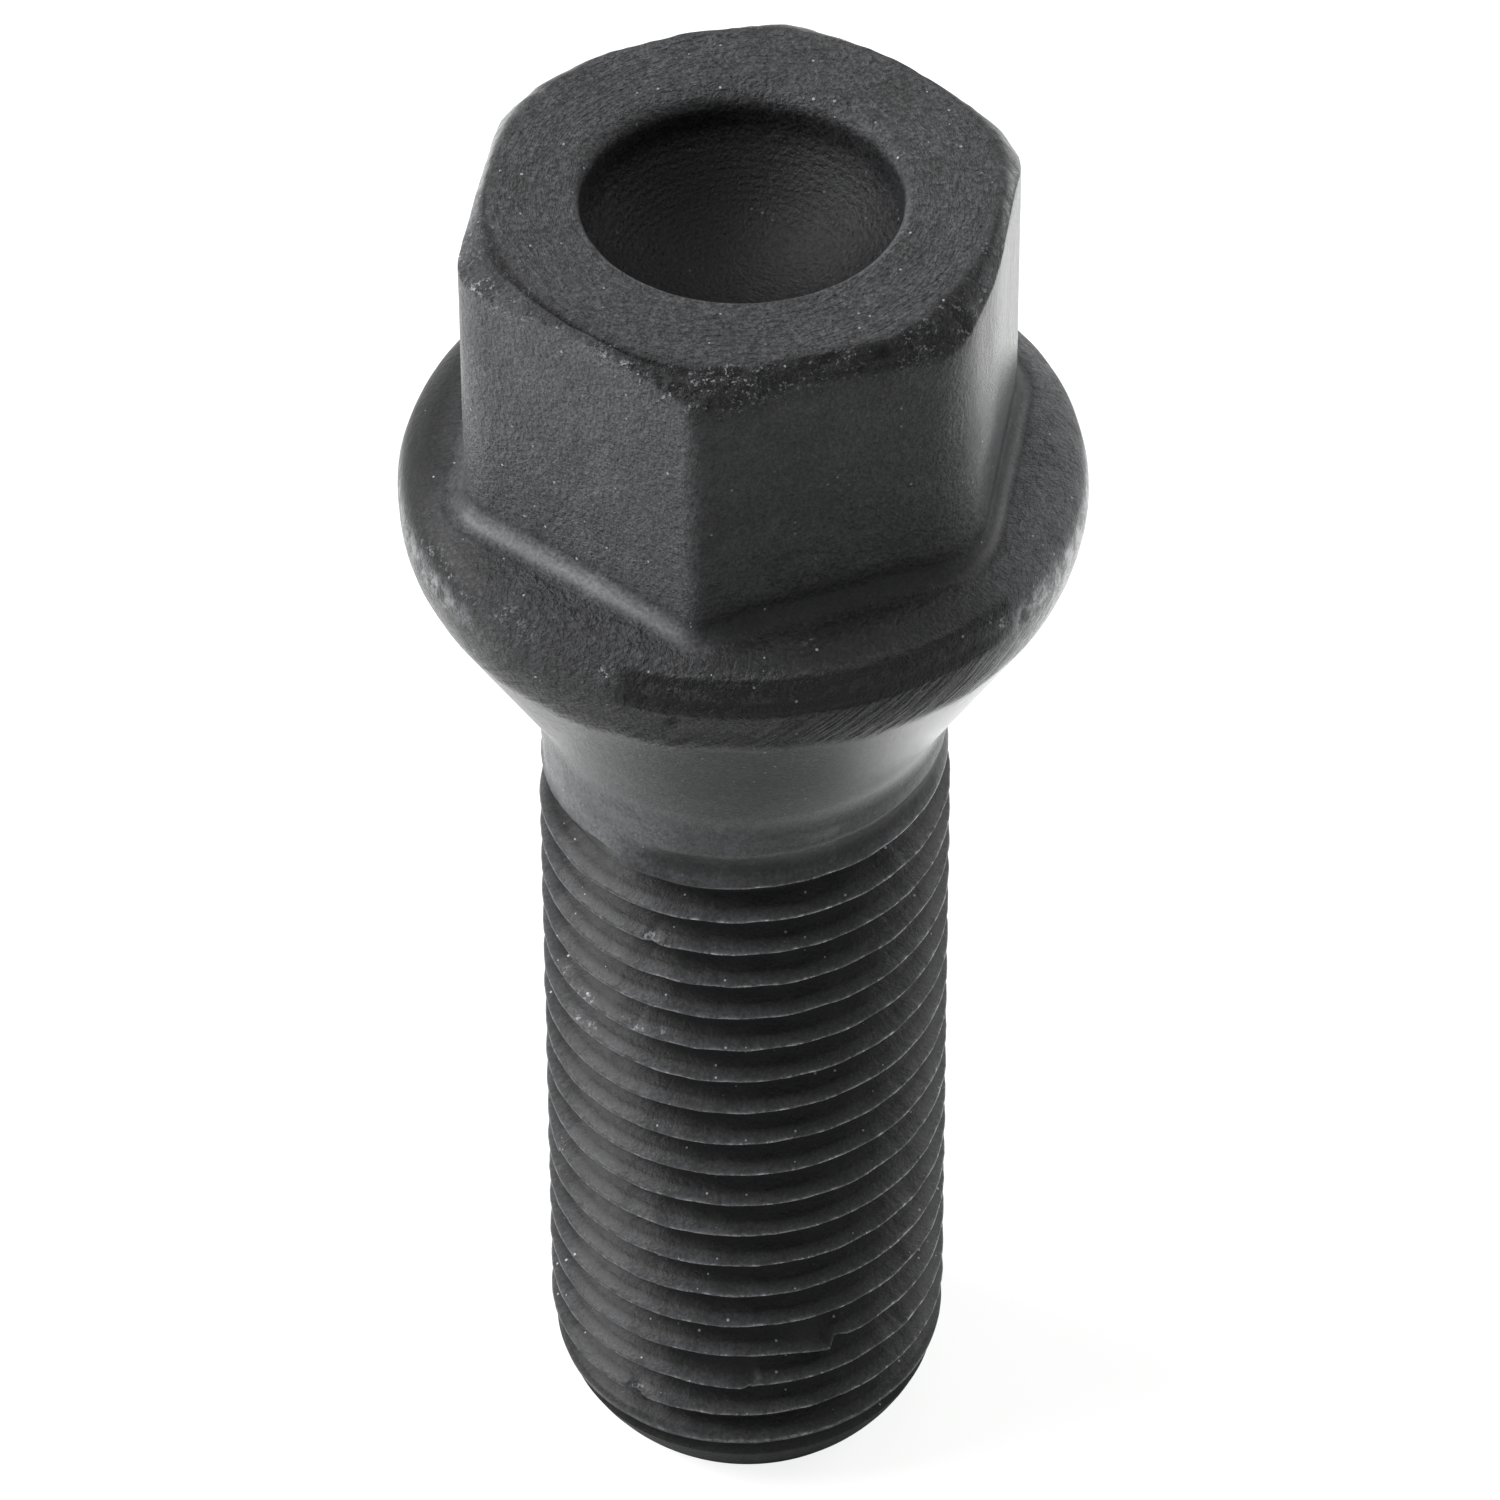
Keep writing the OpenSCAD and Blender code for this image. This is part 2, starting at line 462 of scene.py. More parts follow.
def addThread(skin):
    # rows follow the helix: a row's last column meets the first one of the row a turn above it
    pitch = thread["pitch"]
    start = thread["firstCrest"] + pitch * 0.25
    lowTurn = math.floor((thread["bottom"] - start) / pitch) - 2
    highTurn = math.ceil((thread["top"] - start) / pitch) + 1
    bottomRing = skin.last
    neck = flange["neckRadius"]
    topMarks = {"turned": 1.0, "neck": 1.0}
    topRing = [skin.point(neck * math.cos(angle), neck * math.sin(angle), thread["top"], topMarks)
               for angle in angles]
    # painted shade on the flanks, least at the front and most on the left side
    flankPaintedShade = overZones(0.38, threadLeft=0.62, threadRight=0.3)
    # painted highlight on the crests, faintest on the left and strongest on the right
    gleam = overZones(0.65, crestsLeft=-0.2, crestsRight=0.6)
    turns = azimuths()
    wanders, often = thread["wander"]
    grid = []
    for turn in range(lowTurn, highTurn + 1):
        for phase in thread["phases"]:
            line = []
            for column, angle in enumerate(angles):
                helix = turn + angle / (2 * math.pi)
                crestHeight = start + pitch * helix
                edge = crestEdge(crestHeight)
                stretched = stretchedPhase(phase, edge)
                height = crestHeight + pitch * stretched
                across = Vector((math.cos(angle) * 7, math.sin(angle) * 7, crestHeight))
                if onCrest(phase):
                    height -= foldDrop(math.degrees(angle) + 90.0, crestHeight)
                    height += wanders * noise.noise(across * often + Vector((5, 1, 2)))
                if height >= thread["top"] - 0.01:
                    line.append(topRing[column])
                elif height <= thread["bottom"] + 0.01:
                    line.append(bottomRing[column])
                else:
                    radius, depth = threadSurface(helix, phase, stretched, edge, height, across)
                    marks = threadMarks(helix, phase, height, depth, isBared(turns[column], crestHeight))
                    marks["gleam"] = gleam[column]
                    marks["stain"] = flankPaintedShade[column] * min(1.0, 4.0 * depth) * (1.0 - 0.6 * depth)
                    x = radius * math.cos(angle)
                    y = radius * math.sin(angle)
                    line.append(skin.point(x, y, height, marks))
            grid.append(line)
    stitchHelix(skin, grid)
    skin.last = topRing


def stitchHelix(skin, grid):
    perTurn = len(thread["phases"])
    for row in range(len(grid) - 1):
        for column in range(columns):
            if column + 1 < columns:
                right, rightUp = grid[row][column + 1], grid[row + 1][column + 1]
            elif row + 1 + perTurn < len(grid):
                right, rightUp = grid[row + perTurn][0], grid[row + 1 + perTurn][0]
            else:
                continue
            corners = []
            for corner in (grid[row][column], right, rightUp, grid[row + 1][column]):
                if corner not in corners:
                    corners.append(corner)
            if len(corners) > 2:
                skin.faces.append(tuple(corners))


def addEndFace(skin):
    first, *others = endFace["rings"]
    skin.open(first, 0.0, turned=1.0)
    for radius in others:
        skin.ring(radius, 0.0, turned=1.0)
    # painted shade on the rounded edge next to the floor
    for radius, height in endFace["edge"]:
        skin.ring(radius, height, turned=1.0, stain=0.8)
    skin.ring(pointLimit(thread["bottom"]), thread["bottom"], turned=1.0, stain=0.6)


def addSeat(skin):
    # the fillet at the neck, the cone, and the roll up to the flange's widest point
    tilt = math.radians(flange["seatAngle"])
    neck = flange["neckRadius"]
    fillet = flange["neckFillet"]
    bottom = flange["neckTop"] - fillet * math.tan(tilt / 2)
    polish = overZones(0.16, seatRight=1.2, seatLeft=0.15)
    rows = flange["filletRows"]
    for step in range(rows + 1):
        part = step / rows
        turn = tilt * part
        skin.ring(neck + fillet * (1 - math.cos(turn)), bottom + fillet * math.sin(turn), turned=1.0,
                  seat=0.5 * part, neck=1 - 0.5 * part, burnished=polish * part, pale=0.5 * part)
    startRadius = neck + fillet * (1 - math.cos(tilt))
    startHeight = bottom + fillet * math.sin(tilt)
    roll = flange["rollRadius"]
    endRadius = flange["widest"] - roll * (1 - math.cos(tilt))
    endHeight = flange["widestHeight"] - roll * math.sin(tilt)
    # painted light on the cone, more on its right side; the fillet and the roll's lower part get some too
    conePale = overZones(0.64, seatPale=0.3)
    rows = flange["coneRows"]
    for step in range(1, rows):
        part = step / rows
        skin.ring(startRadius + (endRadius - startRadius) * part,
                  startHeight + (endHeight - startHeight) * part, turned=1.0,
                  seat=min(1.0, 0.5 + part), neck=max(0.0, 0.5 - part), burnished=polish, pale=conePale)
    ragged = wobble(17, 0.35, 30)
    # a glossier coat and a painted sheen along the roll's sides, most on the right
    silhouettes = overZones(0.0, rollRight=1.0, rollLeft=0.35)
    rows = flange["rollRows"]
    for step in range(rows):
        turn = tilt * (1 - step / rows)
        begun = smooth(step / 4 + ragged, 0.0, 1.0)
        radius = flange["widest"] - roll * (1 - math.cos(turn))
        height = flange["widestHeight"] - roll * math.sin(turn)
        skin.ring(radius, height, seat=1.0 - begun, forged=begun, roll=begun, pale=0.68 * (1.0 - begun),
                  burnished=polish * (1.0 - begun) + silhouettes * begun,
                  worn=1.1 * np.maximum(silhouettes - 0.15, 0.0) * begun)


def curveThrough(points, count):
    # Catmull-Rom curve with even steps along its length
    dense = []
    padded = np.array([points[0]] + list(points) + [points[-1]])
    for a, b, c, d in zip(padded, padded[1:], padded[2:], padded[3:]):
        for step in range(12):
            t = step / 12
            slope = (c - a) * t
            bend = (2 * a - 5 * b + 4 * c - d) * t * t
            swing = (3 * b - a - 3 * c + d) * t ** 3
            dense.append(0.5 * (2 * b + slope + bend + swing))
    dense.append(padded[-1])
    dense = np.array(dense)
    length = np.concatenate([[0], np.cumsum(np.hypot(*np.diff(dense, axis=0).T))])
    even = np.linspace(0, length[-1], count)
    return np.column_stack([np.interp(even, length, dense[:, k]) for k in (0, 1)])


def addFlange(skin, outline):
    # from the widest point in to the foot of the hexagon, which is nearer at the flats
    curve = curveThrough(flange["shoulder"], 200)
    places = np.arange(len(curve))
    footAt = np.interp(-outline - head["footBlend"], -curve[:, 0], places)
    inShade = zone("flangeBand") * (1.0 - smooth(azimuths(), *bandFades))
    quiet = zone("flangeQuiet")
    left = zone("flangeLeft")
    right = zone("flangeRight")
    rows = flange["shoulderRows"]
    for step in range(rows + 1):
        at = footAt * step / rows
        radius = np.interp(at, places, curve[:, 0])
        height = np.interp(at, places, curve[:, 1])
        pressed = smooth(height, *flange["pressedFrom"]) * (1.0 - smooth(height, *flange["pressedTo"]))
        onTop = smooth(height, *flange["topFrom"])
        below = 1.0 - smooth(height, *flange["underTo"])
        dusty = smooth(height, *flange["dustFrom"]) * (1.0 - smooth(height, *flange["dustTo"]))
        nearFoot = ramp(step, rows - 5, rows)
        # painted shade on the left side and on the top's front below the hexagon, painted light on the
        # right side, and a painted sheen along the outer edge at both sides, most on the right
        skin.ring(radius - flange["pressedDepth"] * inShade * pressed, height, inShade=inShade,
                  band=(1.0 - smooth(height, *flange["bandTop"])) * inShade,
                  forged=1.0 - 0.75 * left * (1.0 - below), smoothTop=quiet * onTop + 0.6 * left,
                  rub=0.35 * zone("flangeDust") * dusty,
                  stain=0.9 * left * (1.0 - 0.6 * nearFoot) + 0.68 * quiet * onTop,
                  burnished=(0.9 * right + 0.5 * left) * below,
                  worn=(1.1 * right + 0.7 * left) * below ** 2 + 0.18 * right,
                  pale=right * (1.0 - 0.4 * below))
    return np.interp(footAt, places, curve[:, 1])


def mouthRounding():
    # crisp at the front, broad at the back
    front, more = head["mouthRound"]
    return front + more * (0.5 - 0.5 * np.cos(np.radians(azimuths()))) ** 1.5


def addFoot(skin, outline, footHeight):
    # the blend from the flange's top up into the hexagon's faces, with a painted highlight along it on the
    # left, two thin painted highlight lines on the right, and painted shade at the front
    blend = head["footBlend"]
    rows = head["blendRows"]
    for step in range(1, rows + 1):
        turn = math.radians(90) * step / rows
        highlightLines = 0.8 if step in (2, 5) else 0.0
        lit = 0.9 * math.exp(-((step - 3.6) / 1.7) ** 2)
        skin.ring(outline + blend * (1 - math.sin(turn)), footHeight + blend * (1 - math.cos(turn)),
                  forged=0.8 - 0.4 * step / rows, foot=math.sin(2 * turn),
                  pale=lit * zone("leftFace") + highlightLines * zone("rightFace"), stain=0.66 * zone("frontFace"))


def rimChips():
    # fewer pale chips along the front
    return overZones(1.0, frontRim=-0.35)


def addFaces(skin, outline, nearCorner, bottom, edge, crust):
    # the six faces, up to the row just below the rim's edge
    middle, spread, depth = head["rubbedCorner"]
    rubbed = depth * np.exp(-((azimuths() - middle) / spread) ** 2)
    chipped = rimChips()
    lower, upper = head["edgeRows"]
    # painted light on the faces, more on the left and most on the right; they are a little paler near the
    # corners
    facePale = overZones(0.36, leftFace=0.2, rightFace=0.4)
    rows = head["faceRows"]
    for step in range(1, rows + 1):
        last = 1.0 if step == rows else 0.0
        skin.ring(outline - rubbed * min(1.0, step / 5), bottom + (edge - lower - bottom) * step / rows,
                  forged=0.35, side=1.0, crust=0.4 * crust * last, rub=0.6 * chipped * last,
                  burnished=zone("glossyFace"), pale=facePale + 0.1 * nearCorner)
    behind = 1.0 - zone("frontHalf")
    skin.ring(outline - rubbed - head["edgeInset"][0], edge - upper, forged=0.7, side=0.5, rub=chipped,
              crust=0.6 * crust, burnished=0.4 * behind, pale=0.2)
    return outline - rubbed


def addRim(skin, outline, inner, drop, ditch, crust):
    # the hammered slope between the faces and the flat top, with its ditch
    behind = 1.0 - zone("frontHalf")
    chipped = rimChips()
    where, width = head["ditch"]
    outer = outline - head["edgeInset"][1]
    for part in head["rimParts"]:
        sunk = ditch * math.exp(-((part - where) / width) ** 2)
        height = head["top"] - drop * (1 - part) ** head["rimFall"] - sunk
        # painted shade in the ditch, a painted sheen near the outer edge at the back and on the right, and
        # painted light on the left
        skin.ring(outer + (inner - outer) * part, height, forged=1.0, burnished=behind * (1.0 - part),
                  crust=crust * min(1.0, 4 * (1.1 - part)), rub=chipped * max(0.15, 1.0 - 2.2 * part),
                  stain=np.minimum(5.0 * sunk, 0.75),
                  worn=(0.9 * behind + 0.5 * zone("rightRim")) * max(0.0, 1.0 - 1.6 * part),
                  pale=0.35 * zone("leftRim") * (1.0 - part))


def addTop(skin, inner):
    # the flat top and the recess's rounded mouth
    mouth = mouthRounding()
    lip = head["recessRadius"] + mouth
    for step in range(1, head["topRows"]):
        skin.ring(inner + (lip - inner) * step / head["topRows"], head["top"], forged=1.0, topFace=1.0)
    # painted highlight along the mouth's rounding, stronger on the front half
    rimLight = overZones(0.1, frontHalf=0.45)
    rows = head["mouthRows"]
    for step in range(rows + 1):
        turn = math.radians(90) * step / rows
        inside = max(0.0, 2.0 * step / rows - 1.0)
        skin.ring(lip - mouth * math.sin(turn), head["top"] - mouth * (1 - math.cos(turn)),
                  forged=1.0 - 0.8 * step / rows, topFace=max(0.0, 1.0 - step / 4),
                  pale=rimLight * math.sin(2 * turn), bowl=inside, wall=inside)


def addHead(skin, outline, nearCorner, footHeight):
    inner, drop, ditch, crust = rimShape()
    addFoot(skin, outline, footHeight)
    bottom = footHeight + head["footBlend"]
    outline = addFaces(skin, outline, nearCorner, bottom, head["top"] - drop, crust)
    addRim(skin, outline, inner, drop, ditch, crust)
    addTop(skin, inner)


def addRecess(skin):
    # the straight wall and the bowl below it
    wall = head["recessRadius"]
    wallTop = head["top"] - mouthRounding()
    wallBottom = head["top"] - head["recessWall"]
    rows = head["wallRows"]
    for step in range(1, rows + 1):
        skin.ring(wall, wallTop + (wallBottom - wallTop) * step / rows, bowl=1.0, wall=1.0)
    depth = head["bowlDepth"]
    sphere = (wall ** 2 + depth ** 2) / (2 * depth)
    middle = wallBottom + sphere - depth
    rows = head["bowlRows"]
    for step in range(1, rows):
        radius = wall * (1 - step / rows)
        height = middle - math.sqrt(sphere ** 2 - radius ** 2)
        skin.ring(radius, height, bowl=1.0, wall=max(0.0, 1 - step / 5))
    skin.close(middle - sphere, bowl=1.0)


# The marks on each point of the skin, which the finish reads
markNames = ("crest", "root", "turned", "seat", "forged", "roll", "band", "foot", "side", "rub",
             "crust", "topFace", "bowl", "wall", "smoothTop", "neck", "inShade", "burnished",
             "pale", "stain", "gleam", "worn")


def buildBolt():
    skin = Skin()
    outline, nearCorner = hexOutline()
    addEndFace(skin)
    addThread(skin)
    addSeat(skin)
    footHeight = addFlange(skin, outline)
    addHead(skin, outline, nearCorner, footHeight)
    addRecess(skin)
    mesh = bpy.data.meshes.new("wheelBoltDressed")
    mesh.from_pydata([Vector(place) * mm for place in skin.places], [], skin.faces)
    mesh.validate(verbose=True)
    mesh.polygons.foreach_set("use_smooth", [True] * len(mesh.polygons))
    for name in markNames:
        layer = mesh.attributes.new(name, "FLOAT", "POINT")
        layer.data.foreach_set("value", [marks.get(name, 0.0) for marks in skin.marks])
    mesh.update()
    bolt = bpy.data.objects.new("wheelBoltDressed", mesh)
    bpy.context.collection.objects.link(bolt)
    return bolt


forging = {
    "lumps": 0.03,
    "lumpSize": 2.2,
    "dimples": 0.016,
    "dimpleSize": 0.7,
    "crustLumps": 0.09,
    "crustSize": 0.42,
    "pits": 70,
    "pitDepth": 0.09,
    "pitRadius": (0.15, 0.45),
}

# turn from the front towards +X, radius and height
knocks = {
    # then size and depth of the dent
    "nicks": [(27, 6.93, 7.4, 0.45, 0.3), (1, 6.93, 5.8, 0.35, 0.22), (-35, 6.7, 4.2, 0.5, 0.35),
              (-33, 6.93, 22.5, 0.3, 0.1), (-27, 6.93, 27.0, 0.35, 0.2), (62, 6.93, 16.2, 0.4, 0.2),
              (150, 6.93, 12.0, 0.5, 0.3), (-110, 6.93, 19.5, 0.4, 0.25), (95, 6.93, 24.8, 0.35, 0.2)],
    # then size of the patch of pale chips
    "worn": [(-35, 6.7, 4.2, 0.35), (-24, 11.1, 42.7, 0.3), (12, 9.9, 43.6, 0.25), (47, 11.1, 42.6, 0.5),
             (51, 11.2, 42.0, 0.45), (60, 11.0, 42.6, 0.3), (72, 11.2, 42.2, 0.4), (84, 11.2, 42.0, 0.5),
             (-80, 8.9, 53.6, 0.6), (-128, 8.9, 53.4, 0.8), (-105, 8.6, 53.9, 0.4), (118, 8.8, 53.4, 0.7),
             (98, 8.7, 53.7, 0.5)],
}


def spotAt(fromFront, radius, height):
    turn = math.radians(fromFront - 90.0)
    return np.array([radius * math.cos(turn), radius * math.sin(turn), height])


def readPlaces(mesh, kind="co"):
    # every point's place, or its normal, as one row each
    values = np.empty(len(mesh.vertices) * 3)
    mesh.vertices.foreach_get(kind, values)
    return values.reshape(-1, 3)


def readMark(mesh, name):
    values = np.empty(len(mesh.vertices))
    mesh.attributes[name].data.foreach_get("value", values)
    return values


def weatherSurface(bolt):
    # forging lumps and pits, moved along the surface's own normals
    mesh = bolt.data
    places = readPlaces(mesh) / mm
    normals = readPlaces(mesh, "normal")
    forged = readMark(mesh, "forged")
    crusted = readMark(mesh, "crust")
    push = np.zeros(len(places))
    for index in np.nonzero(forged > 0.01)[0]:
        spot = Vector(places[index])
        lumps = noise.noise(spot / forging["lumpSize"]) * forging["lumps"]
        dimples = noise.noise(spot / forging["dimpleSize"] + Vector((7, 3, 1))) * forging["dimples"]
        push[index] = forged[index] * (lumps + dimples)
        if crusted[index] > 0.1:
            scale = noise.noise(spot / forging["crustSize"] + Vector((2, 9, 4)))
            push[index] += crusted[index] * scale * forging["crustLumps"]
    draw = random.Random(41)
    onForged = np.nonzero(forged > 0.9)[0]
    for _ in range(forging["pits"]):
        middle = places[onForged[draw.randrange(len(onForged))]]
        radius = draw.uniform(*forging["pitRadius"])
        depth = forging["pitDepth"] * draw.uniform(0.3, 1.0) * radius / forging["pitRadius"][1]
        away = np.linalg.norm(places - middle, axis=1) / radius
        push -= depth * np.clip(1 - away ** 2, 0, 1) ** 2 * (forged > 0.3)
    places += normals * push[:, None]
    low, high = (np.array(corner) / mm for corner in cadBox)
    mesh.vertices.foreach_set("co", (np.clip(places, low, high) * mm).ravel())
    mesh.update()


def knockAbout(bolt):
    # dents in the thread and patches where the edges are chipped pale
    mesh = bolt.data
    places = readPlaces(mesh) / mm
    rub = readMark(mesh, "rub")
    for fromFront, radius, height, size, depth in knocks["nicks"]:
        middle = spotAt(fromFront, radius, height)
        away = np.linalg.norm(places - middle, axis=1) / size
        inward = np.array([middle[0], middle[1], 0.0]) / radius
        places -= inward * (depth * np.clip(1 - away ** 2, 0, 1) ** 2)[:, None]
    for fromFront, radius, height, size in knocks["worn"]:
        away = np.linalg.norm(places - spotAt(fromFront, radius, height), axis=1) / size
        rub = np.maximum(rub, 0.9 * np.clip(1.3 - away, 0, 1))
    mesh.vertices.foreach_set("co", (places * mm).ravel())
    mesh.attributes["rub"].data.foreach_set("value", rub)
    mesh.update()


bolt = buildBolt()
weatherSurface(bolt)
knockAbout(bolt)
print("bolt:", len(bolt.data.vertices), "points,", len(bolt.data.polygons), "faces")


class Wire:
    # one output socket; the operators on it add Math nodes
    def __init__(self, finish, socket):
        self.finish = finish
        self.socket = socket

    def maths(self, operation, first, second):
        return self.finish.node("ShaderNodeMath", {"operation": operation}, {0: first, 1: second})

    def __add__(self, other):
        return self.maths("ADD", self, other)

    def __radd__(self, other):
        return self.maths("ADD", other, self)

    def __sub__(self, other):
        return self.maths("SUBTRACT", self, other)

    def __rsub__(self, other):
        return self.maths("SUBTRACT", other, self)

    def __mul__(self, other):
        return self.maths("MULTIPLY", self, other)

    def __rmul__(self, other):
        return self.maths("MULTIPLY", other, self)

    def __truediv__(self, other):
        return self.maths("DIVIDE", self, other)

    def __pow__(self, other):
        return self.maths("POWER", self, other)

    def __gt__(self, other):
        return self.maths("GREATER_THAN", self, other)

    def __abs__(self):
        return self.maths("ABSOLUTE", self, 0.0)


class Finish:
    # a node tree whose nodes are made one call at a time
    def __init__(self, tree):
        self.tree = tree
        self.tree.nodes.clear()

    def node(self, kind, settings=None, sockets=None, output=0):
        made = self.tree.nodes.new(kind)
        for name, value in (settings or {}).items():
            setattr(made, name, value)
        for name, value in (sockets or {}).items():
            if isinstance(value, Wire):
                self.tree.links.new(value.socket, made.inputs[name])
            else:
                made.inputs[name].default_value = value
        return Wire(self, made.outputs[output]) if made.outputs else made

    def vector(self, operation, sockets, output=0):
        return self.node("ShaderNodeVectorMath", {"operation": operation}, sockets, output)

    def mark(self, name):
        return self.node("ShaderNodeAttribute", {"attribute_name": name}, output="Fac")

    def blend(self, factor, first, second):
        settings = {"data_type": "RGBA", "clamp_factor": True}
        return self.node("ShaderNodeMix", settings, {0: factor, 6: first, 7: second}, 2)

    def step(self, value, low, high):
        # 0 below low and 1 above high, with a soft change between
        settings = {"interpolation_type": "SMOOTHSTEP"}
        sockets = {"Value": value, "From Min": low, "From Max": high}
        return self.node("ShaderNodeMapRange", settings, sockets)

    def grain(self, where, scale, detail, roughness):
        sockets = {"Vector": where, "Scale": scale, "Detail": detail, "Roughness": roughness}
        return self.node("ShaderNodeTexNoise", None, sockets)


def newMaterial(name):
    material = bpy.data.materials.new(name)
    material.use_nodes = True
    return material


def grey(level, blue=1.06):
    return (level, level * 1.01, level * blue, 1.0)


blackSteel = {
    # the steel's own two tones, then the tone for scuffs and painted light, the dark tone for painted
    # shade, crust and streaks, the bright tone for worn crests and painted sheen, and the specks' tone
    "tone": 0.034,
    "paleTone": 0.062,
    "scuffAndLightTone": 0.13,
    "rootTone": 0.009,
    "wearAndSheenTone": 0.34,
    "speckTone": 0.45,
    "roughness": 0.38,
    "sideRoughness": 0.25,
    "specular": 0.15,
    "coat": 0.75,
    "coatRoughness": 0.27,
    "grit": 2.2,
    "reliefHeight": 0.1,
    # noise: times per millimetre, detail and roughness
    "grains": {
        "clouds": (0.5, 3.0, 0.6),
        "mottle": (2.4, 4.0, 0.65),
        "fine": (6.0, 3.0, 0.7),
        "grit": (8.0, 3.0, 0.7),
        "wear": (1.6, 5.0, 0.8),
        "dots": (3.4, 3.0, 0.7),
        "clusters": (1.7, 3.0, 0.6),
        "chips": (5.5, 4.0, 0.75),
        "sparkle": (6.5, 3.0, 0.7),
    },
    # how much the grit shows in the tone of each place, more than elsewhere
    "grittier": {"topFace": 2.2, "side": 0.2, "roll": 3.0, "bowl": 2.0},
    # times round the axis per radian and outward per millimetre for the top's wrinkles
    "wrinkles": (13.0, 6.5),
    # times round per radian, turn per millimetre of height and times up for the roll's streaks
    "rollStreaks": (30.0, -0.11, 0.5),
    # times per millimetre across and up for the faces' upright streaks
    "faceStreaks": (5.0, 5.0, 0.35),
    # how close the bowl's turned rings are, and how bent
    "bowlRings": (1.9, 1.5),
    # the two lines of painted shade along the flange's band: height, half width, softness
    "bandLines": [(42.98, 0.22, 0.14), (42.12, 0.34, 0.2)],
    # specks: cells per millimetre, share of them left empty, least and greatest radius in cells
    "specks": (3.0, 0.62, 0.05, 0.17),
}


def steelPatterns(steel, where):
    # the patterns that the colour, the relief and the roughness share
    seen = SimpleNamespace()
    for name, (scale, detail, roughness) in blackSteel["grains"].items():
        setattr(seen, name, steel.grain(where, scale, detail, roughness))
    flat = steel.vector("MULTIPLY", {0: where, 1: (1.0, 1.0, 0.0)})
    radius = steel.vector("LENGTH", {0: flat}, 1)
    around = steel.vector("NORMALIZE", {0: flat})

    # wrinkles that run round the axis
    often, outward = blackSteel["wrinkles"]
    outward = steel.node("ShaderNodeCombineXYZ", None, {"Z": radius * outward})
    ringWise = steel.vector("MULTIPLY_ADD", {0: around, 1: (often, often, 0.0), 2: outward})
    seen.wrinkles = steel.grain(ringWise, 1.0, 3.0, 0.65)

    # slanting streaks on the roll, and upright ones on the hexagon's faces
    often, slant, upward = blackSteel["rollStreaks"]
    seen.height = steel.node("ShaderNodeSeparateXYZ", None, {0: where}, 2)
    slanted = steel.node("ShaderNodeVectorRotate", {"rotation_type": "Z_AXIS"},
                         {"Vector": around, "Angle": seen.height * slant})
    slanted = steel.vector("SCALE", {0: slanted, "Scale": often})
    raised = steel.node("ShaderNodeCombineXYZ", None, {"Z": seen.height * upward})
    seen.rollStreaks = steel.grain(steel.vector("ADD", {0: slanted, 1: raised}), 1.0, 3.0, 0.6)
    upright = steel.vector("MULTIPLY", {0: where, 1: blackSteel["faceStreaks"]})
    seen.streaks = steel.grain(upright, 1.0, 4.0, 0.65)
    close, bent = blackSteel["bowlRings"]
    seen.rings = steel.node("ShaderNodeTexWave", {"wave_type": "RINGS", "rings_direction": "Z"},
                            {"Vector": where, "Scale": close, "Distortion": bent, "Detail": 2.0})
    seen.chipped = steel.step(seen.chips, 0.53, 0.59) * (0.2 + steel.step(seen.clusters, 0.48, 0.58))
    return seen


def bandLines(steel, marks, seen):
    # painted shade in lines along both edges of the flange's band
    total = 0.0
    for height, half, soft in blackSteel["bandLines"]:
        total = total + steel.step(half - abs(seen.height - height), 0.0, soft)
    return marks.inShade * total


def paleSpecks(steel, marks, where):
    # tiny pale specks of dust and phosphate, one in some of the cells
    cells, empty, least, greatest = blackSteel["specks"]
    placing = {"Vector": where, "Scale": cells}
    away = steel.node("ShaderNodeTexVoronoi", {"feature": "F1"}, placing)
    pick = steel.node("ShaderNodeTexVoronoi", {"feature": "F1"}, placing, "Color")
    chance = steel.node("ShaderNodeSeparateColor", None, {0: pick})
    size = least + (greatest - least) * steel.step(chance, empty, 1.0) ** 4.0
    return steel.step(size - away, 0.0, 0.03) * (chance > empty) * (1.0 - marks.bowl * 0.8)


def brightCrests(steel, marks, seen):
    # crests worn bright in spots with a painted highlight along them, and a painted sheen on the parts
    # marked for it
    wear = steel.step(seen.wear, 0.4, 0.62)
    dots = steel.step(seen.dots, 0.56, 0.62)
    return marks.crest ** 5.0 * marks.gleam * (0.2 + wear * 0.8 + dots * 0.8) + marks.worn * wear


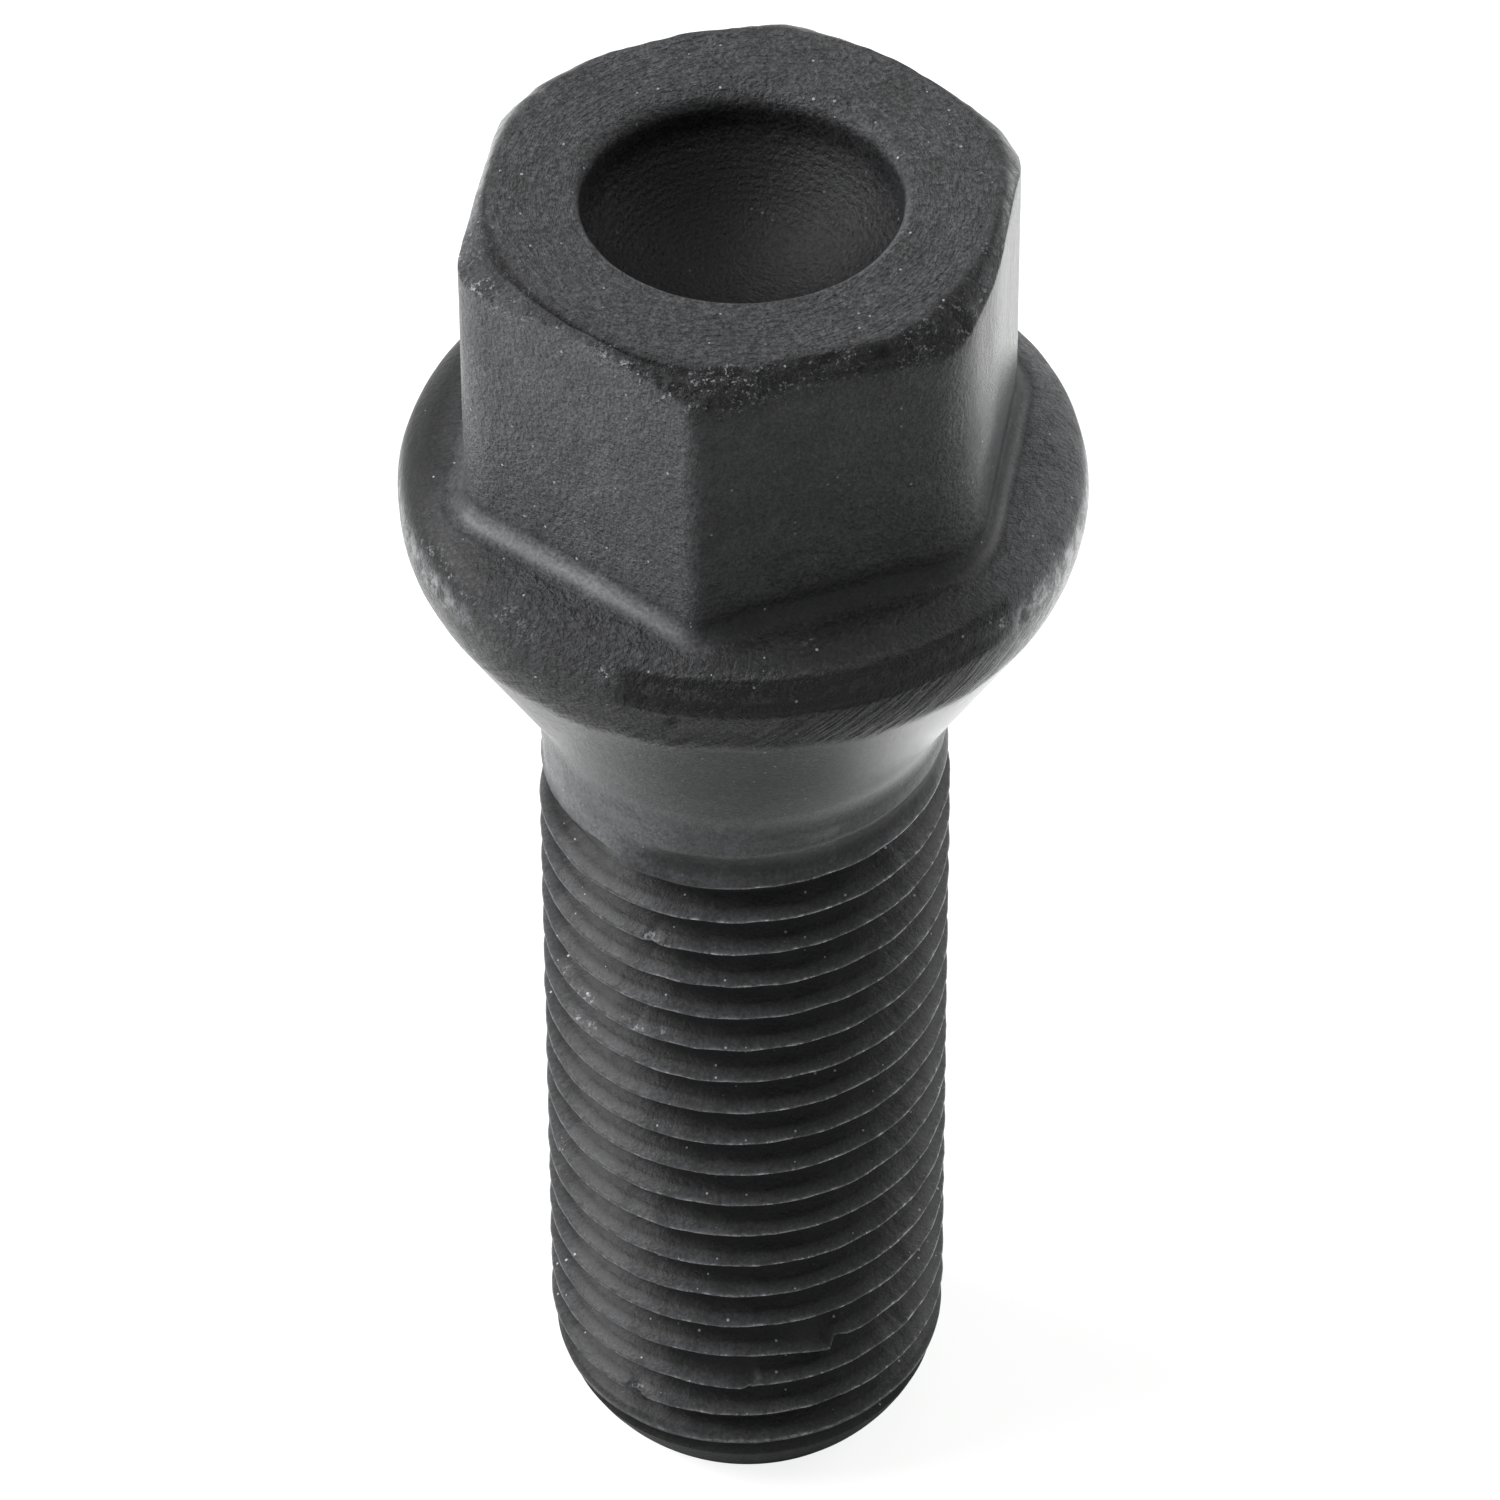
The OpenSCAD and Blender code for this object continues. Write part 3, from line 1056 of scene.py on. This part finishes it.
def steelColour(steel, marks, seen, where, lines, bright):
    shade = seen.clouds * 0.25 + seen.mottle * 0.35 + seen.fine * 0.4
    shade = shade + marks.topFace * (seen.wrinkles - 0.5) * 0.5
    shade = steel.step(shade, 0.41, 0.59)
    colour = steel.blend(shade, grey(blackSteel["tone"]), grey(blackSteel["paleTone"]))
    # scuffs on the neck, painted light where the pale mark lies, and the top face a little paler
    patchiness = steel.step(seen.clouds * 0.6 + seen.mottle * 0.4, 0.46, 0.62)
    scuffsAndPaintedLight = marks.neck * (0.7 + patchiness) + marks.pale * (0.8 + patchiness * 0.4) + marks.topFace * 0.07
    colour = steel.blend(scuffsAndPaintedLight, colour, grey(blackSteel["scuffAndLightTone"]))

    # painted shade in the thread's roots, in the recess but less on its wall, over the flange's band and
    # its lines, and on the parts marked for it in the skin; the crust and the roll's streaks are dark
    # steel
    crustNoise = 0.3 + steel.step(seen.mottle, 0.44, 0.56) * 0.9
    dark = marks.root ** 1.2 * 0.95 + marks.crust * crustNoise * 0.9 + marks.band * crustNoise * 1.4
    dark = dark + lines * 0.7 + marks.bowl * 1.05 - marks.wall * 0.35 + marks.stain
    dark = dark + marks.roll * (0.5 - seen.rollStreaks) * 5.0
    colour = steel.blend(dark, colour, grey(blackSteel["rootTone"]))
    grittiness = blackSteel["grit"]
    for name, more in blackSteel["grittier"].items():
        grittiness = grittiness + getattr(marks, name) * more
    colour = steel.vector("SCALE", {0: colour, "Scale": 1.0 + (seen.grit - 0.5) * grittiness})

    colour = steel.blend(bright, colour, grey(blackSteel["wearAndSheenTone"]))
    sparkle = steel.step(seen.sparkle, 0.57, 0.63) * steel.step(seen.clouds, 0.45, 0.6)
    flecks = marks.rub * seen.chipped + marks.crust * sparkle * 0.8 + paleSpecks(steel, marks, where) * 0.8
    return steel.blend(flecks, colour, grey(blackSteel["speckTone"]))


def steelRelief(marks, seen, lines):
    # every pattern swings about zero, so that a mark's edge alone makes no step
    blotches = seen.mottle - 0.5
    grains = seen.fine - 0.5
    clouds = seen.clouds - 0.5
    streaks = seen.streaks - 0.5
    rougher = (1.0 - marks.smoothTop * 0.7) * (1.0 - marks.foot)
    cast = marks.forged * (blotches * 2.2 + grains * 1.8) * rougher
    hammered = marks.crust * (seen.chipped + grains) * 2.0 + marks.band * blotches * 1.5 - lines * 0.6
    creased = marks.topFace * (seen.wrinkles - 0.5) * 3.8
    dimpled = marks.bowl * (seen.rings * 0.05 + (seen.grit - 0.5) * 0.6)
    dragged = marks.roll * (seen.rollStreaks - 0.5) * (8.0 - marks.burnished * 5.0)
    machined = marks.turned * (grains * 0.2 + clouds * 0.4) + marks.seat * grains * 0.6
    faces = marks.side * (grains * 0.6 + blotches * 0.4)
    glossy = marks.side * marks.burnished * (streaks * 1.2 + grains * 0.8)
    return cast + hammered + creased + dimpled + dragged + machined + faces + glossy


def steelRoughness(marks, seen):
    smoother = blackSteel["sideRoughness"] - blackSteel["roughness"]
    rough = blackSteel["roughness"] + (seen.mottle - 0.5) * 0.25 - marks.seat * 0.15 - marks.neck * 0.1
    rough = rough + marks.side * (seen.streaks * 0.8 + 0.6) * smoother
    return rough - marks.burnished * 0.06 - marks.roll * 0.12 - marks.bowl * 0.1 - marks.crest * 0.1


def makeBlackSteel():
    material = newMaterial("blackPhosphateSteel")
    steel = Finish(material.node_tree)
    spot = steel.node("ShaderNodeTexCoord", output="Object")
    where = steel.vector("SCALE", {0: spot, "Scale": 1.0 / mm})
    marks = SimpleNamespace(**{name: steel.mark(name) for name in markNames})
    seen = steelPatterns(steel, where)
    lines = bandLines(steel, marks, seen)
    bright = brightCrests(steel, marks, seen)
    colour = steelColour(steel, marks, seen, where, lines, bright)
    bump = steel.node("ShaderNodeBump", None, {
        "Strength": 1.0,
        "Distance": blackSteel["reliefHeight"] * mm,
        "Height": steelRelief(marks, seen, lines),
    }, "Normal")
    surface = steel.node("ShaderNodeBsdfPrincipled", None, {
        "Base Color": colour,
        "Roughness": steelRoughness(marks, seen),
        "Normal": bump,
        "Metallic": bright * 0.8,
        "Coat Weight": marks.burnished * blackSteel["coat"],
        "Coat Roughness": blackSteel["coatRoughness"],
        "Specular IOR Level": blackSteel["specular"],
    })
    steel.node("ShaderNodeOutputMaterial", None, {"Surface": surface})
    return material


bolt.data.materials.append(makeBlackSteel())
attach(bolt, "root")
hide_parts("wheel_bolt")
print("black steel finish made")


studio = {
    "floorSize": 6.0,
    "floorTone": 0.3,
    "floorGlow": 0.85,
    # the gloss sees the floor dark within the first radius of the axis and white past the second, a
    # painted contact shadow in the bolt's reflections
    "standsOn": (5.0, 13.0),
    "worldLight": 0.15,
    "lampsAim": (0, 0, 35),
    # name: place, size, watts
    "lamps": {
        "keyLeft": ((-500, 30, 440), 480, 7.2),
        "topSoft": ((60, 300, 700), 460, 0.85),
        "rimRight": ((560, 260, 350), 420, 1.9),
    },
}


def seenWhite(finish, glossShare=1.0):
    # 1 for what the camera sees, and glossShare of it for the gloss
    path = {name: finish.node("ShaderNodeLightPath", output=name)
            for name in ("Is Camera Ray", "Is Glossy Ray", "Is Transmission Ray")}
    total = path["Is Camera Ray"] + (path["Is Glossy Ray"] + path["Is Transmission Ray"]) * glossShare
    return finish.node("ShaderNodeMath", {"operation": "MINIMUM"}, {0: total, 1: 1.0})


def makeFloor():
    bpy.ops.mesh.primitive_plane_add(size=studio["floorSize"])
    floor = bpy.context.object
    floor.name = "studioFloor"
    material = newMaterial("paleFloor")
    pale = Finish(material.node_tree)
    matte = pale.node("ShaderNodeBsdfDiffuse", None, {"Color": grey(studio["floorTone"], 1.0)})
    spot = pale.node("ShaderNodeTexCoord", output="Object")
    away = pale.vector("LENGTH", {0: spot}, 1) / mm
    white = seenWhite(pale, pale.step(away, *studio["standsOn"]))
    glow = pale.node("ShaderNodeEmission", None,
                     {"Color": grey(1.0, 1.0), "Strength": white * studio["floorGlow"]})
    both = pale.node("ShaderNodeAddShader", None, {0: matte, 1: glow})
    pale.node("ShaderNodeOutputMaterial", None, {"Surface": both})
    floor.data.materials.append(material)


def makeWorld():
    world = bpy.data.worlds.new("studioWorld")
    bpy.context.scene.world = world
    world.use_nodes = True
    sky = Finish(world.node_tree)
    strength = studio["worldLight"] + seenWhite(sky) * (1.0 - studio["worldLight"])
    back = sky.node("ShaderNodeBackground", None, {"Color": grey(1.0, 1.0), "Strength": strength})
    sky.node("ShaderNodeOutputWorld", None, {"Surface": back})


def hangLamps():
    for name, (place, size, watts) in studio["lamps"].items():
        lamp = bpy.data.lights.new(name, "AREA")
        lamp.shape = "SQUARE"
        lamp.size = size * mm
        lamp.energy = watts
        holder = bpy.data.objects.new(name, lamp)
        holder.location = Vector(place) * mm
        aim = Vector(studio["lampsAim"]) * mm - holder.location
        holder.rotation_euler = aim.to_track_quat("-Z", "Y").to_euler()
        bpy.context.collection.objects.link(holder)


makeFloor()
makeWorld()
hangLamps()
bpy.context.scene.view_settings.view_transform = "Standard"
print("studio lit")
